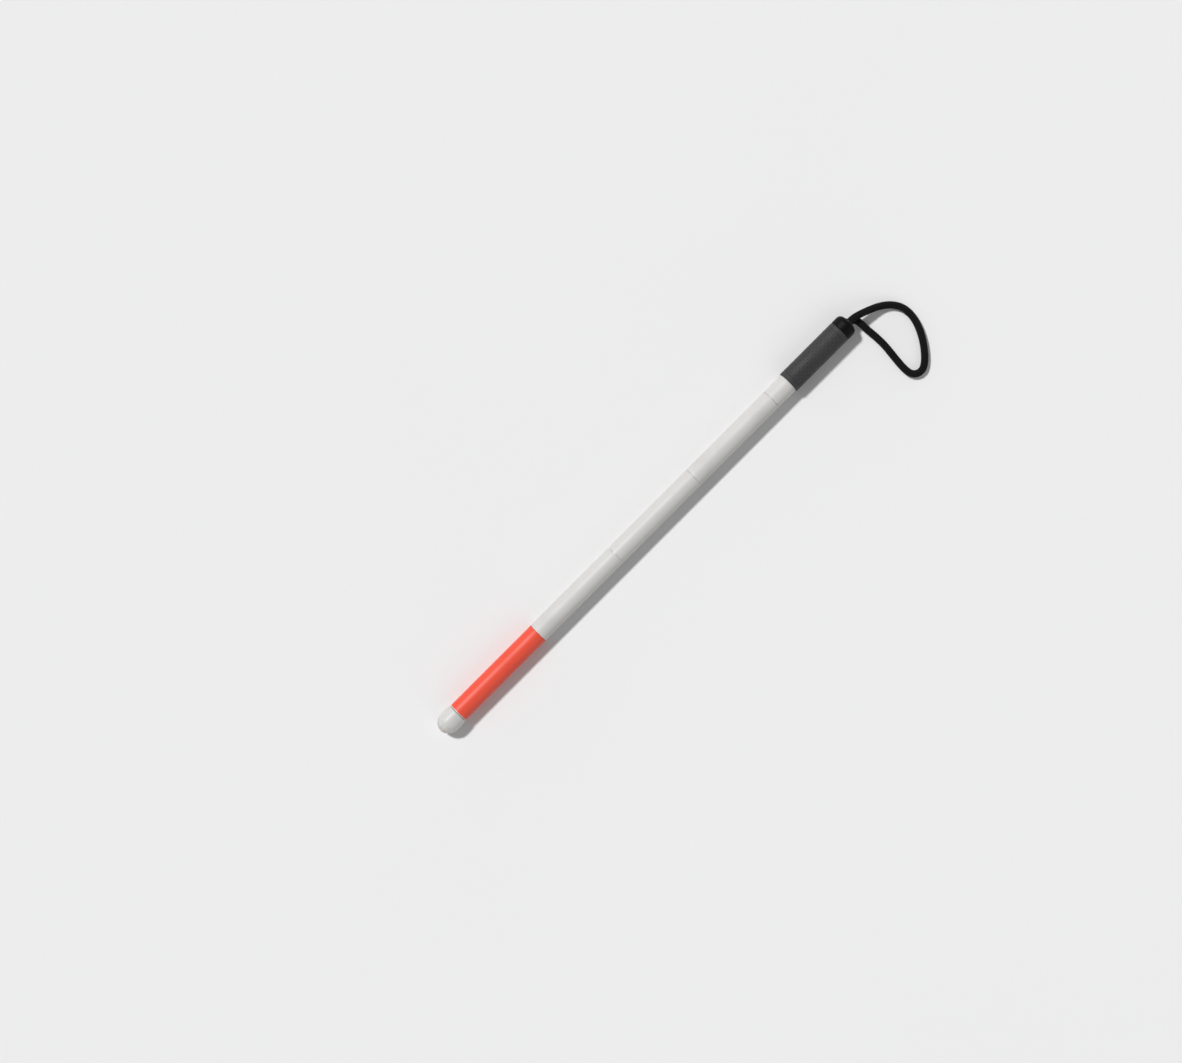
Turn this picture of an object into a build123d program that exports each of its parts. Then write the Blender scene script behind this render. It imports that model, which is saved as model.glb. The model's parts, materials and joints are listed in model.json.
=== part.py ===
"""White cane: five aluminium tube sections on one elastic cord, with a rubber grip, a wrist loop and a
roller tip. The cane lies along X on the plane z = 0, with its tip at -X. Lengths are in millimetres."""
from build123d import *
import math
import os

# ---- driving dimensions -------------------------------------------------------------------------
CANE_LENGTH = 711.0          # tip to end of cap, 28 in
CAP_LENGTH = 16.0            # end cap that shows past the grip
GRIP_LENGTH = 90.0
RED_LENGTH = 138.0           # lowest section
TIP_LENGTH = 32.0            # from the end of the red section to the nose
TUBE_RADIUS = 12.7           # 1 in tube
TUBE_WALL = 1.2
TAPE_THICKNESS = 0.3         # reflective sheeting
GRIP_RADIUS = 14.6
TIP_RADIUS = 14.2
AXIS_HEIGHT = TIP_RADIUS     # the cane rests on its tip and on the flat under its grip
SEAM = 0.3                   # gap between neighbouring tubes
TAPE_MARGIN = 0.2            # bare metal past each end of a tape sleeve

FERRULE_REACH = 30.0         # how far a ferrule goes into each of its two tubes
RUNNING_CLEARANCE = 0.05     # ferrule in its liner, and bearing balls in their races
FERRULE_BORE = 8.5
SPIGOT_LEAD = 2.5            # length of the taper on a spigot's end
SPIGOT_TAPER = 0.8           # how much smaller it is there
LINER_BORE = 10.5
LINER_LENGTH = 34.0
MOUTH_DEPTH = 0.6            # flare of a liner's mouth
MOUTH_FLARE = 0.5
RIVET_RADIUS = 1.5

ELASTIC_RADIUS = 2.25        # shock cord inside the cane
LOOP_RADIUS = 4.5            # wrist loop cord
LOOP_PITCH = 9.4             # between the two ends of the loop, one above the other
LOOP_HOLE = 2 * LOOP_RADIUS + 0.4    # width of the slots that the two ends pass through
GROMMET_WALL = 0.95
GROMMET_RIM = 0.55           # how far the grommet's flange stands past its barrel, all round
GROMMET_FLANGE = 1.6

BEARING_BORE = 3.0           # 626 ball bearing: 6 x 19 x 6
BEARING_RADIUS = 9.5
BEARING_WIDTH = 6.0
BALL_RADIUS = 1.5
BALL_COUNT = 8

# ---- places along the cane ----------------------------------------------------------------------
CAP_END = CANE_LENGTH / 2
NOSE = -CANE_LENGTH / 2
GRIP_TOP = CAP_END - CAP_LENGTH
GRIP_LOW = GRIP_TOP - GRIP_LENGTH
RED_LOW = NOSE + TIP_LENGTH
RED_TOP = RED_LOW + RED_LENGTH
SECTION_PITCH = (CAP_END - RED_TOP) / 4
JOINTS = [CAP_END - SECTION_PITCH * number for number in (1, 2, 3, 4)]
TUBE_BORE = TUBE_RADIUS - TUBE_WALL
TAPE_RADIUS = TUBE_RADIUS + TAPE_THICKNESS
HALF_SEAM = SEAM / 2
AXIS_LINE = Axis((0, 0, AXIS_HEIGHT), (1, 0, 0))
SIDE_VIEW = Plane(origin=(0, 0, AXIS_HEIGHT), x_dir=(1, 0, 0), z_dir=(0, -1, 0))

os.makedirs("parts", exist_ok=True)


def station(x, height=AXIS_HEIGHT):
    """A plane across the cane at x, with its local x along Y and its local y along Z."""
    return Plane(origin=(x, 0, height), x_dir=(0, 1, 0), z_dir=(1, 0, 0))


def sleeve(low, high, outer, inner):
    """A plain tube round the cane's axis, from x = low to x = high."""
    with BuildPart() as ring:
        with BuildSketch(station(low)):
            Circle(outer)
            Circle(inner, mode=Mode.SUBTRACT)
        extrude(amount=high - low)
    return ring


def rod(low, high, radius):
    """A plain round bar on the cane's axis, from x = low to x = high."""
    with BuildPart() as bar:
        with BuildSketch(station(low)):
            Circle(radius)
        extrude(amount=high - low)
    return bar


def rivet_pair(x, radius, inner_reach, outer_reach):
    """Two upright rivets, one above and one below the axis, between two distances from the axis."""
    with BuildPart() as rivets:
        for side in (1, -1):
            with BuildSketch(Plane.XY.offset(AXIS_HEIGHT + side * inner_reach)):
                with Locations((x, 0)):
                    Circle(radius)
            extrude(amount=side * (outer_reach - inner_reach))
        with BuildSketch(station(x - 2 * radius)):
            Circle(outer_reach)
        extrude(amount=4 * radius, mode=Mode.INTERSECT)
    return rivets


def section_tube(low, high, rivet_places):
    """A section's aluminium tube, with a hole above and below at each rivet."""
    with BuildPart() as tube:
        with BuildSketch(station(low)):
            Circle(TUBE_RADIUS)
            Circle(TUBE_BORE, mode=Mode.SUBTRACT)
        extrude(amount=high - low)
        with BuildSketch(Plane.XY.offset(AXIS_HEIGHT)):
            with Locations(*[(x, 0) for x in rivet_places]):
                Circle(RIVET_RADIUS)
        extrude(amount=TUBE_RADIUS + 1, both=True, mode=Mode.SUBTRACT)
    return tube


def joint_ferrule(joint_x):
    """The stepped sleeve at a joint: its thick half is riveted in the upper tube, its thin half slides."""
    spigot_radius = LINER_BORE - RUNNING_CLEARANCE
    shoulder = joint_x + HALF_SEAM
    with BuildPart() as ferrule:
        with BuildSketch(SIDE_VIEW):
            with BuildLine():
                Polyline(
                    (shoulder - FERRULE_REACH, FERRULE_BORE),
                    (shoulder - FERRULE_REACH, spigot_radius - SPIGOT_TAPER),
                    (shoulder - FERRULE_REACH + SPIGOT_LEAD, spigot_radius),
                    (shoulder, spigot_radius),
                    (shoulder, TUBE_BORE),
                    (shoulder + FERRULE_REACH, TUBE_BORE),
                    (shoulder + FERRULE_REACH, FERRULE_BORE),
                    close=True,
                )
            make_face()
        revolve(axis=AXIS_LINE)
        with BuildSketch(Plane.XY.offset(AXIS_HEIGHT)):
            with Locations((joint_x + FERRULE_REACH / 2, 0)):
                Circle(RIVET_RADIUS)
        extrude(amount=TUBE_RADIUS + 1, both=True, mode=Mode.SUBTRACT)
    return ferrule


def socket_liner(tube_end):
    """The nylon liner that a spigot slides in, with a flared mouth."""
    with BuildPart() as liner:
        with BuildSketch(SIDE_VIEW):
            with BuildLine():
                Polyline(
                    (tube_end - LINER_LENGTH, LINER_BORE),
                    (tube_end - MOUTH_DEPTH, LINER_BORE),
                    (tube_end, LINER_BORE + MOUTH_FLARE),
                    (tube_end, TUBE_BORE),
                    (tube_end - LINER_LENGTH, TUBE_BORE),
                    close=True,
                )
            make_face()
        revolve(axis=AXIS_LINE)
    return liner


# ---- handle section -----------------------------------------------------------------------------
RIVET_OFFSET = FERRULE_REACH / 2
ANCHOR_LOW = GRIP_LOW + 8.0
ANCHOR_LENGTH = 8.0
ANCHOR_RIVET = ANCHOR_LOW + ANCHOR_LENGTH / 2
ANCHOR_BORE = ELASTIC_RADIUS + 0.35
ANCHOR_RIVET_INNER = ELASTIC_RADIUS + 1.5
ANCHOR_CRIMP_LENGTH = 10.0
HANDLE_TUBE_TOP = CAP_END - 8.0
CAP_WALL_INNER = HANDLE_TUBE_TOP + 0.2
CAP_FACE = CAP_END - 0.8     # the grommet's flange stands proud of the rubber
CAP_CORNER = 6.5
PLUG_LENGTH = 10.0
CRIMP_LENGTH = 12.0
CRIMP_WALL = 1.5
GROMMET_BARREL = LOOP_HOLE + 2 * GROMMET_WALL
GROMMET_WIDTH = GROMMET_BARREL + 2 * GROMMET_RIM
GROMMET_RECESS = GROMMET_WIDTH + 0.1

handle_tube = section_tube(JOINTS[0] + HALF_SEAM, HANDLE_TUBE_TOP, [JOINTS[0] + RIVET_OFFSET, ANCHOR_RIVET])
handle_tube.part.label = "handle_tube"
export_step(handle_tube.part, "parts/handle_tube.step")

tape = sleeve(JOINTS[0] + HALF_SEAM + TAPE_MARGIN, GRIP_LOW, TAPE_RADIUS, TUBE_RADIUS)
tape.part.label = "white_tape_1"
export_step(tape.part, "parts/white_tape_1.step")

# the grip is round, with one narrow flat below that stops the cane from rolling
with BuildPart() as grip_sleeve:
    with BuildSketch(station(GRIP_LOW)):
        Circle(GRIP_RADIUS)
    extrude(amount=GRIP_LENGTH)
    fillet(grip_sleeve.edges().filter_by(GeomType.CIRCLE).sort_by(Axis.X)[0], radius=0.8)
    fillet(grip_sleeve.edges().filter_by(GeomType.CIRCLE).sort_by(Axis.X)[-1], radius=1.5)
    with BuildSketch(station(GRIP_LOW)):
        Circle(TUBE_RADIUS)
    extrude(amount=GRIP_LENGTH, mode=Mode.SUBTRACT)
    split(bisect_by=Plane.XY, keep=Keep.TOP)
grip_sleeve.part.label = "grip_sleeve"
export_step(grip_sleeve.part, "parts/grip_sleeve.step")

# the end cap is a rubber cup over the end of the tube, pierced for the wrist loop
with BuildPart() as grip_end_cap:
    with BuildSketch(station(GRIP_TOP)):
        Circle(GRIP_RADIUS)
    extrude(amount=CAP_FACE - GRIP_TOP)
    fillet(grip_end_cap.edges().filter_by(GeomType.CIRCLE).sort_by(Axis.X)[-1], radius=CAP_CORNER)
    fillet(grip_end_cap.edges().filter_by(GeomType.CIRCLE).sort_by(Axis.X)[0], radius=1.2)
    with BuildSketch(station(GRIP_TOP)):
        Circle(TUBE_RADIUS)
    extrude(amount=CAP_WALL_INNER - GRIP_TOP, mode=Mode.SUBTRACT)
    with BuildSketch(station(CAP_WALL_INNER)):
        SlotCenterToCenter(LOOP_PITCH, GROMMET_BARREL, rotation=90)
    extrude(amount=CAP_FACE - CAP_WALL_INNER, mode=Mode.SUBTRACT)
    with BuildSketch(station(CAP_END - GROMMET_FLANGE)):
        SlotCenterToCenter(LOOP_PITCH, GROMMET_RECESS, rotation=90)
    extrude(amount=GROMMET_FLANGE, mode=Mode.SUBTRACT)
    split(bisect_by=Plane.XY, keep=Keep.TOP)
grip_end_cap.part.label = "grip_end_cap"
export_step(grip_end_cap.part, "parts/grip_end_cap.step")

with BuildPart() as cord_grommet:
    with BuildSketch(station(CAP_WALL_INNER)):
        SlotCenterToCenter(LOOP_PITCH, GROMMET_BARREL, rotation=90)
    extrude(amount=CAP_END - GROMMET_FLANGE - CAP_WALL_INNER)
    with BuildSketch(station(CAP_END - GROMMET_FLANGE)):
        SlotCenterToCenter(LOOP_PITCH, GROMMET_WIDTH, rotation=90)
    extrude(amount=GROMMET_FLANGE)
    fillet(cord_grommet.faces().sort_by(Axis.X)[-1].edges(), radius=0.7)
    with BuildSketch(station(CAP_WALL_INNER)):
        SlotCenterToCenter(LOOP_PITCH, LOOP_HOLE, rotation=90)
    extrude(amount=CAP_END - CAP_WALL_INNER, mode=Mode.SUBTRACT)
cord_grommet.part.label = "cord_grommet"
export_step(cord_grommet.part, "parts/cord_grommet.step")

with BuildPart() as tube_plug:
    with BuildSketch(station(HANDLE_TUBE_TOP - PLUG_LENGTH)):
        Circle(TUBE_BORE)
        SlotCenterToCenter(LOOP_PITCH, LOOP_HOLE, rotation=90, mode=Mode.SUBTRACT)
    extrude(amount=PLUG_LENGTH)
tube_plug.part.label = "tube_plug"
export_step(tube_plug.part, "parts/tube_plug.step")

CRIMP_TOP = HANDLE_TUBE_TOP - PLUG_LENGTH
LOOP_HEIGHTS = [AXIS_HEIGHT + LOOP_PITCH / 2, AXIS_HEIGHT - LOOP_PITCH / 2]
with BuildPart() as loop_crimp:
    with BuildSketch(station(CRIMP_TOP - CRIMP_LENGTH)):
        SlotCenterToCenter(LOOP_PITCH, 2 * (LOOP_RADIUS + CRIMP_WALL), rotation=90)
        with Locations((0, LOOP_PITCH / 2), (0, -LOOP_PITCH / 2)):
            Circle(LOOP_RADIUS, mode=Mode.SUBTRACT)
    extrude(amount=CRIMP_LENGTH)
loop_crimp.part.label = "loop_crimp"
export_step(loop_crimp.part, "parts/loop_crimp.step")

# ---- wrist loop ---------------------------------------------------------------------------------
# From the upper hole it droops to the ground, goes round to the side and comes back to the lower hole.
LOOP_ROUTE = [
    (352.6, 0.0, 18.9),
    (360.8, 0.0, 18.9),
    (371.2, -2.6, 17.6),
    (384.2, -7.2, 12.8),
    (397.4, -13.0, 7.6),
    (408.6, -21.4, 4.7),
    (415.9, -32.4, 4.7),
    (418.0, -45.5, 4.7),
    (415.4, -59.3, 4.7),
    (409.8, -72.8, 4.7),
    (402.2, -85.2, 4.7),
    (394.0, -95.2, 4.7),
    (386.4, -102.4, 4.7),
    (379.1, -106.2, 4.7),
    (371.1, -105.1, 4.7),
    (365.5, -99.4, 4.7),
    (364.2, -90.0, 4.7),
    (364.6, -78.4, 4.7),
    (366.0, -65.8, 4.7),
    (367.3, -53.0, 4.7),
    (367.2, -41.6, 4.8),
    (365.7, -31.0, 5.4),
    (364.6, -22.8, 6.5),
    (365.4, -16.2, 7.5),
    (366.4, -11.1, 8.4),
    (365.2, -6.1, 9.2),
    (362.1, -2.2, 9.5),
    (357.6, 0.0, 9.5),
    (352.6, 0.0, 9.5),
]


def bend_radii(route):
    """For each corner of a route, the arc that takes up 0.45 of the shorter run beside it."""
    points = [Vector(*point) for point in route]
    radii = []
    for before, corner, after in zip(points, points[1:], points[2:]):
        turn = (corner - before).get_angle(after - corner)
        shorter = min((corner - before).length, (after - corner).length)
        radii.append(0.45 * shorter / math.tan(math.radians(turn / 2)))
    return radii


LOOP_RADII = bend_radii(LOOP_ROUTE)
with BuildPart() as wrist_loop:
    with BuildLine():
        loop_path = FilletPolyline(*LOOP_ROUTE, radius=LOOP_RADII)
    with BuildSketch(Plane(origin=loop_path @ 0, z_dir=loop_path % 0)):
        Circle(LOOP_RADIUS)
    sweep()
wrist_loop.part.label = "wrist_loop"
export_step(wrist_loop.part, "parts/wrist_loop.step")
print("wrist loop radii:", [round(radius, 1) for radius in LOOP_RADII])
print("wrist loop length:", round(loop_path.length, 1))
print("wrist loop volume over section x length:",
      round(wrist_loop.part.volume / (math.pi * LOOP_RADIUS**2 * loop_path.length), 4))

with BuildPart() as loop_tails:
    for height in LOOP_HEIGHTS:
        with BuildSketch(station(CRIMP_TOP - CRIMP_LENGTH - 1, height)):
            Circle(LOOP_RADIUS)
        extrude(amount=LOOP_ROUTE[0][0] - CRIMP_TOP + CRIMP_LENGTH + 1)
loop_tails.part.label = "loop_tails"
export_step(loop_tails.part, "parts/loop_tails.step")

# ---- anchor of the elastic cord in the handle ---------------------------------------------------
with BuildPart() as cord_anchor:
    with BuildSketch(station(ANCHOR_LOW)):
        Circle(TUBE_BORE)
        Circle(ANCHOR_BORE, mode=Mode.SUBTRACT)
    extrude(amount=ANCHOR_LENGTH)
    with BuildSketch(Plane.XY.offset(AXIS_HEIGHT)):
        with Locations((ANCHOR_RIVET, 0)):
            Circle(RIVET_RADIUS)
    extrude(amount=TUBE_RADIUS, both=True, mode=Mode.SUBTRACT)
cord_anchor.part.label = "cord_anchor"
export_step(cord_anchor.part, "parts/cord_anchor.step")

anchor_rivets = rivet_pair(ANCHOR_RIVET, RIVET_RADIUS, ANCHOR_RIVET_INNER, TUBE_RADIUS)
anchor_rivets.part.label = "anchor_rivets"
export_step(anchor_rivets.part, "parts/anchor_rivets.step")

ANCHOR_CRIMP_LOW = ANCHOR_LOW + ANCHOR_LENGTH
ANCHOR_CRIMP_TOP = ANCHOR_CRIMP_LOW + ANCHOR_CRIMP_LENGTH
with BuildPart() as anchor_crimp:
    with BuildSketch(station(ANCHOR_CRIMP_LOW)):
        Circle(2 * ELASTIC_RADIUS)
        Circle(ELASTIC_RADIUS, mode=Mode.SUBTRACT)
    extrude(amount=ANCHOR_CRIMP_LENGTH)
    fillet(anchor_crimp.edges().group_by(SortBy.LENGTH)[-1], radius=0.8)
anchor_crimp.part.label = "anchor_crimp"
export_step(anchor_crimp.part, "parts/anchor_crimp.step")

# ---- joints: a ferrule and its two rivets in the lower end of each upper section ----------------
for number, joint_x in enumerate(JOINTS, start=1):
    ferrule = joint_ferrule(joint_x)
    ferrule.part.label = f"joint_ferrule_{number}"
    export_step(ferrule.part, f"parts/joint_ferrule_{number}.step")

    rivets = rivet_pair(joint_x + RIVET_OFFSET, RIVET_RADIUS, FERRULE_BORE + 0.2, TUBE_RADIUS)
    rivets.part.label = f"ferrule_rivets_{number}"
    export_step(rivets.part, f"parts/ferrule_rivets_{number}.step")

    liner = socket_liner(joint_x - HALF_SEAM)
    liner.part.label = f"socket_liner_{number + 1}"
    export_step(liner.part, f"parts/socket_liner_{number + 1}.step")

# ---- white sections -----------------------------------------------------------------------------
for number, (top, low) in enumerate(zip(JOINTS, JOINTS[1:]), start=2):
    tube = section_tube(low + HALF_SEAM, top - HALF_SEAM, [low + RIVET_OFFSET])
    tube.part.label = f"section_tube_{number}"
    export_step(tube.part, f"parts/section_tube_{number}.step")

    tape = sleeve(low + HALF_SEAM + TAPE_MARGIN, top - HALF_SEAM - TAPE_MARGIN, TAPE_RADIUS, TUBE_RADIUS)
    tape.part.label = f"white_tape_{number}"
    export_step(tape.part, f"parts/white_tape_{number}.step")

# ---- red section --------------------------------------------------------------------------------
ADAPTER_LENGTH = 24.0
ADAPTER_FLANGE = 1.0
ADAPTER_CHAMFER = 0.8
ADAPTER_BUSH = BEARING_BORE + 1.5
ADAPTER_INNER = RED_LOW + ADAPTER_LENGTH
ADAPTER_RIVET = RED_LOW + 14.0

tube = section_tube(RED_LOW, RED_TOP - HALF_SEAM, [ADAPTER_RIVET])
tube.part.label = "section_tube_5"
export_step(tube.part, "parts/section_tube_5.step")

tape = sleeve(RED_LOW, RED_TOP - HALF_SEAM - TAPE_MARGIN, TAPE_RADIUS, TUBE_RADIUS)
tape.part.label = "red_tape"
export_step(tape.part, "parts/red_tape.step")

HOOK_SHANK = 8.0
HOOK_WIRE = 1.25
HOOK_RING = 3.5
HOOK_CENTRE = ADAPTER_INNER + 7.0
with BuildPart() as tip_adapter:
    with BuildSketch(SIDE_VIEW):
        with BuildLine():
            Polyline(
                (RED_LOW - ADAPTER_FLANGE, BEARING_BORE),
                (ADAPTER_INNER - HOOK_SHANK, BEARING_BORE),
                (ADAPTER_INNER - HOOK_SHANK, HOOK_WIRE),
                (ADAPTER_INNER, HOOK_WIRE),
                (ADAPTER_INNER, TUBE_BORE - ADAPTER_CHAMFER),
                (ADAPTER_INNER - ADAPTER_CHAMFER, TUBE_BORE),
                (RED_LOW, TUBE_BORE),
                (RED_LOW, TUBE_RADIUS),
                (RED_LOW - ADAPTER_FLANGE, TUBE_RADIUS),
                close=True,
            )
        make_face()
    revolve(axis=AXIS_LINE)
    with BuildSketch(Plane.XY.offset(AXIS_HEIGHT)):
        with Locations((ADAPTER_RIVET, 0)):
            Circle(RIVET_RADIUS)
    extrude(amount=TUBE_RADIUS, both=True, mode=Mode.SUBTRACT)
    with BuildSketch(station(RED_LOW)):
        Circle(ADAPTER_BUSH)
        Circle(BEARING_BORE, mode=Mode.SUBTRACT)
    extrude(amount=ADAPTER_LENGTH - HOOK_SHANK)
tip_adapter.part.label = "tip_adapter"
export_step(tip_adapter.part, "parts/tip_adapter.step")

adapter_rivets = rivet_pair(ADAPTER_RIVET, RIVET_RADIUS, ADAPTER_BUSH, TUBE_RADIUS)
adapter_rivets.part.label = "adapter_rivets"
export_step(adapter_rivets.part, "parts/adapter_rivets.step")

# an open hook screwed in the adapter, and the elastic cord's crimp with an eye that is hung in it
with BuildPart() as cord_hook:
    ring_start = Vector(HOOK_CENTRE - HOOK_RING, 0, AXIS_HEIGHT)
    with BuildSketch(station(ADAPTER_INNER - HOOK_SHANK)):
        Circle(HOOK_WIRE)
    extrude(amount=HOOK_CENTRE - HOOK_RING - ADAPTER_INNER + HOOK_SHANK)
    with BuildLine(SIDE_VIEW):
        CenterArc((HOOK_CENTRE, 0), HOOK_RING, 180, 300)
    with BuildSketch(Plane(origin=ring_start, x_dir=(1, 0, 0), z_dir=(0, 0, -1))):
        Circle(HOOK_WIRE)
    sweep()
cord_hook.part.label = "cord_hook"
export_step(cord_hook.part, "parts/cord_hook.step")

HOOK_PLAY = 0.1
EYE_CENTRE = HOOK_CENTRE + 2 * HOOK_RING - 2 * HOOK_WIRE - HOOK_PLAY
EYE_TOP = EYE_CENTRE + HOOK_RING
CRIMP_FLOOR = 3.0
CORD_LOW_END = EYE_TOP + CRIMP_FLOOR
LOWER_CRIMP_TOP = CORD_LOW_END + ANCHOR_CRIMP_LENGTH
with BuildPart() as lower_crimp:
    with BuildSketch(Plane(origin=(EYE_CENTRE, 0, AXIS_HEIGHT), x_dir=(1, 0, 0), z_dir=(0, -1, 0))):
        with Locations((HOOK_RING, 0)):
            Circle(HOOK_WIRE)
    revolve(axis=Axis((EYE_CENTRE, 0, AXIS_HEIGHT), (0, 0, 1)))
    with BuildSketch(station(EYE_TOP)):
        Circle(2 * ELASTIC_RADIUS)
    extrude(amount=LOWER_CRIMP_TOP - EYE_TOP)
    with BuildSketch(station(CORD_LOW_END)):
        Circle(ELASTIC_RADIUS)
    extrude(amount=LOWER_CRIMP_TOP - CORD_LOW_END, mode=Mode.SUBTRACT)
lower_crimp.part.label = "lower_crimp"
export_step(lower_crimp.part, "parts/lower_crimp.step")

# ---- elastic cord: one cord from the anchor to the hook, as one span for each joint --------------
middles = [(top + low) / 2 for top, low in zip(JOINTS, JOINTS[1:])]
cord_marks = [ANCHOR_CRIMP_TOP, *middles, CORD_LOW_END]
for number, (top, low) in enumerate(zip(cord_marks, cord_marks[1:]), start=1):
    span = rod(low, top, ELASTIC_RADIUS)
    span.part.label = f"shock_cord_{number}"
    export_step(span.part, f"parts/shock_cord_{number}.step")

# ---- roller tip ---------------------------------------------------------------------------------
TIP_GAP = 0.4                # between the turning tip and the adapter, and inside it
TIP_REAR = RED_LOW - ADAPTER_FLANGE - TIP_GAP
COVER_THICKNESS = 2.0
COVER_RADIUS = BEARING_RADIUS + 1.3
BEARING_TOP = TIP_REAR - COVER_THICKNESS - TIP_GAP
BEARING_LOW = BEARING_TOP - BEARING_WIDTH
POCKET_DEPTH = 6.0
WASHER_THICKNESS = 1.0
WASHER_RADIUS = 4.8
SCREW_RADIUS = 2.0
SCREW_HEAD = 3.0
BALL_CIRCLE = 6.25
RACE_RADIUS = BALL_RADIUS + RUNNING_CLEARANCE
RING_INNER_EDGE = 5.1
RING_OUTER_EDGE = 7.4
COVER_BORE = RING_INNER_EDGE + 0.5
NOSE_LENGTH = 16.0
SHOULDER_RADIUS = 13.2
REAR_ROUND = 1.6

# the shell is a barrel with a domed nose; its pocket takes the bearing and then the screw's head
with BuildPart() as roller_tip:
    with BuildSketch(SIDE_VIEW):
        with BuildLine():
            nose_start = NOSE + NOSE_LENGTH
            EllipticalCenterArc((nose_start, 0), NOSE_LENGTH, TIP_RADIUS, start_angle=90, arc_size=90)
            TangentArc((nose_start, TIP_RADIUS), (TIP_REAR, SHOULDER_RADIUS), tangent=(1, 0))
            Polyline(
                (TIP_REAR, SHOULDER_RADIUS),
                (TIP_REAR, COVER_RADIUS),
                (TIP_REAR - COVER_THICKNESS, COVER_RADIUS),
                (TIP_REAR - COVER_THICKNESS, BEARING_RADIUS),
                (BEARING_LOW, BEARING_RADIUS),
                (BEARING_LOW, RING_OUTER_EDGE),
                (BEARING_LOW - POCKET_DEPTH, RING_OUTER_EDGE),
                (BEARING_LOW - POCKET_DEPTH, 0),
                (NOSE, 0),
            )
        make_face()
    revolve(axis=AXIS_LINE)
    rear_edges = roller_tip.edges().filter_by(GeomType.CIRCLE).group_by(Axis.X)[-1]
    fillet(rear_edges.sort_by(SortBy.RADIUS)[-1], radius=REAR_ROUND)
roller_tip.part.label = "roller_tip"
export_step(roller_tip.part, "parts/roller_tip.step")

tip_rear_cover = sleeve(TIP_REAR - COVER_THICKNESS, TIP_REAR, COVER_RADIUS, COVER_BORE)
tip_rear_cover.part.label = "tip_rear_cover"
export_step(tip_rear_cover.part, "parts/tip_rear_cover.step")

BALL_PLANE = (BEARING_TOP + BEARING_LOW) / 2


def bearing_ring(outer, inner):
    """One ring of the ball bearing, with its race cut in."""
    with BuildPart() as ring:
        with BuildSketch(SIDE_VIEW):
            with Locations((BALL_PLANE, (outer + inner) / 2)):
                Rectangle(BEARING_WIDTH, outer - inner)
            with Locations((BALL_PLANE, BALL_CIRCLE)):
                Circle(RACE_RADIUS, mode=Mode.SUBTRACT)
        revolve(axis=AXIS_LINE)
    return ring


bearing_outer_ring = bearing_ring(BEARING_RADIUS, RING_OUTER_EDGE)
bearing_outer_ring.part.label = "bearing_outer_ring"
export_step(bearing_outer_ring.part, "parts/bearing_outer_ring.step")

bearing_inner_ring = bearing_ring(RING_INNER_EDGE, BEARING_BORE)
bearing_inner_ring.part.label = "bearing_inner_ring"
export_step(bearing_inner_ring.part, "parts/bearing_inner_ring.step")

with BuildPart() as bearing_balls:
    with Locations(station(BALL_PLANE)):
        with PolarLocations(BALL_CIRCLE, BALL_COUNT):
            Sphere(BALL_RADIUS)
bearing_balls.part.label = "bearing_balls"
export_step(bearing_balls.part, "parts/bearing_balls.step")

# the axle has a collar that the bearing's inner ring is clamped against
AXLE_TOP = ADAPTER_INNER - HOOK_SHANK
COLLAR_RADIUS = RING_INNER_EDGE - 0.3
with BuildPart() as tip_axle:
    with BuildSketch(SIDE_VIEW):
        with BuildLine():
            Polyline(
                (BEARING_LOW, SCREW_RADIUS),
                (BEARING_LOW, BEARING_BORE),
                (BEARING_TOP, BEARING_BORE),
                (BEARING_TOP, COLLAR_RADIUS),
                (RED_LOW - ADAPTER_FLANGE, COLLAR_RADIUS),
                (RED_LOW - ADAPTER_FLANGE, BEARING_BORE),
                (AXLE_TOP, BEARING_BORE),
                (AXLE_TOP, 0),
                (BEARING_TOP, 0),
                (BEARING_TOP, SCREW_RADIUS),
                close=True,
            )
        make_face()
    revolve(axis=AXIS_LINE)
tip_axle.part.label = "tip_axle"
export_step(tip_axle.part, "parts/tip_axle.step")

axle_washer = sleeve(BEARING_LOW - WASHER_THICKNESS, BEARING_LOW, WASHER_RADIUS, SCREW_RADIUS)
axle_washer.part.label = "axle_washer"
export_step(axle_washer.part, "parts/axle_washer.step")

with BuildPart() as axle_screw:
    with BuildSketch(station(BEARING_TOP)):
        Circle(SCREW_RADIUS)
    extrude(amount=BEARING_LOW - WASHER_THICKNESS - BEARING_TOP)
    with BuildSketch(station(BEARING_LOW - WASHER_THICKNESS)):
        Circle(2 * SCREW_RADIUS)
    extrude(amount=-SCREW_HEAD)
    fillet(axle_screw.edges().group_by(Axis.X)[0], radius=0.5)
    with BuildSketch(station(BEARING_LOW - WASHER_THICKNESS - SCREW_HEAD)):
        RegularPolygon(SCREW_RADIUS * 0.85, 6)
    extrude(amount=SCREW_HEAD * 0.6, mode=Mode.SUBTRACT)
axle_screw.part.label = "axle_screw"
export_step(axle_screw.part, "parts/axle_screw.step")
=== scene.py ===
"""Looks of the white cane: sheeting, ribbed grip, braided wrist loop, elastic cord, roller tip and metal."""

import json
import math

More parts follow.
